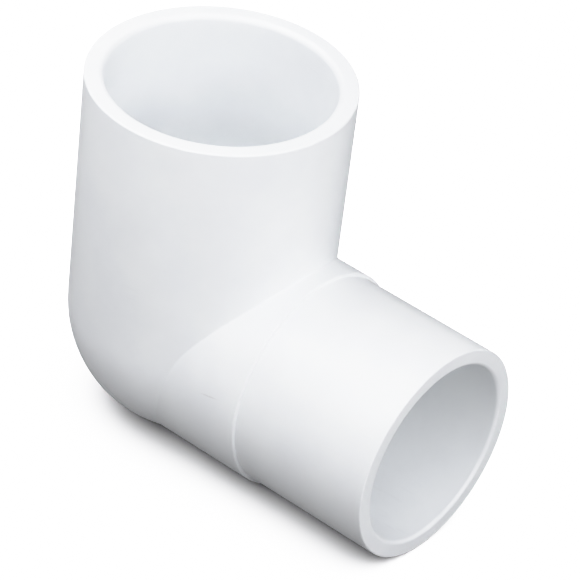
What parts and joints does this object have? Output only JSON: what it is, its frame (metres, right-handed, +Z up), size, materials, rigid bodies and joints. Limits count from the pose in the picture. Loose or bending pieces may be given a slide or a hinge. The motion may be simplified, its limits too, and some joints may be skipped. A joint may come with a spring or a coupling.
{
  "type": "street elbow",
  "caption": "White PVC 90 degree street elbow: slip socket hub on one end, plain spigot with a shoulder on the other.",
  "frame": {"origin": "bottom centre of the bounding box, on the surface that the heel and the collar rest on", "axes": "+Z up the socket's axis towards its mouth, +X out along the spigot's axis towards its end, +Y across, the direction of the mirror plane's normal"},
  "size_m": [0.0946, 0.0568, 0.0842],
  "materials": {
    "moulded_pvc": "satin"
  },
  "bodies": {
    "root": {"socket_hub": "moulded_pvc", "elbow_body": "moulded_pvc", "spigot": "moulded_pvc"}
  },
  "joints": []
}
